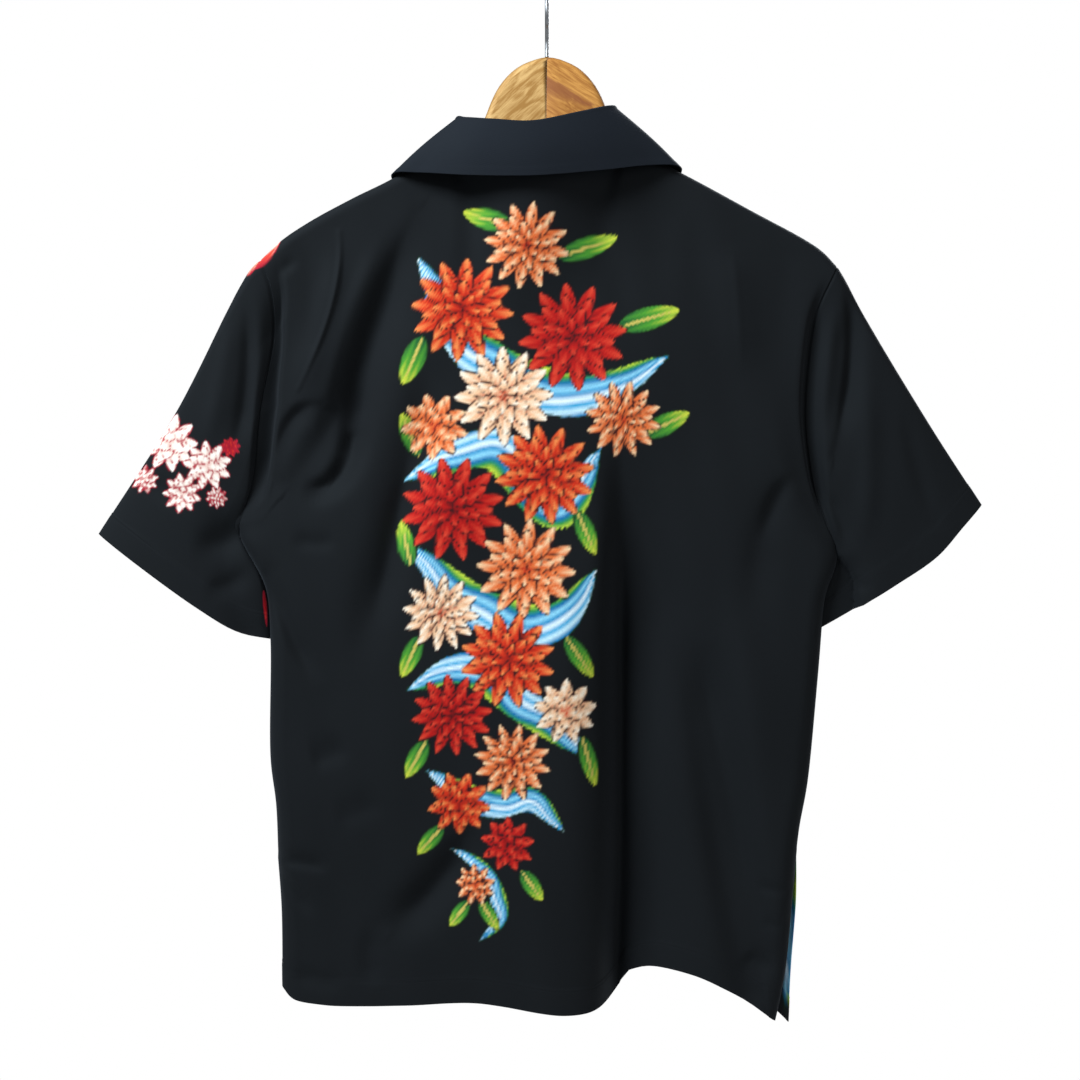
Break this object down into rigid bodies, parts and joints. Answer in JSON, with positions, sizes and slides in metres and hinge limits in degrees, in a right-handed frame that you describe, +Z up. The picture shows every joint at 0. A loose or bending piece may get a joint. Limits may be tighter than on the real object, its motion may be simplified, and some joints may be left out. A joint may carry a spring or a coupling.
{
  "type": "short-sleeved polo shirt on a wooden hanger",
  "caption": "Loose dark polo shirt with set-in short sleeves, a turned-down collar, a short buttoned placket and side vents, hanging on a flat wooden hanger with a wire hook.",
  "frame": {"origin": "the top of the space inside the hook, where a rail carries it", "axes": "+Z up, +X the wearer's left, -Y the wearer's front"},
  "size_m": [0.776, 0.0825, 0.9066],
  "materials": {
    "cloth": "matt woven cotton, near black with a blue cast, with flowers printed down the back",
    "button": "polished dark resin",
    "wood": "pale natural wood under thin satin varnish",
    "steel": "satin wire"
  },
  "bodies": {
    "root": {"back": "cloth", "front": "cloth", "placket_under": "cloth", "placket_over": "cloth", "button_1": "button", "button_2": "button", "button_3": "button", "collar": "cloth", "sleeve_left": "cloth", "sleeve_right": "cloth", "hanger_left": "wood", "hanger_right": "wood", "hook": "steel"}
  },
  "joints": []
}
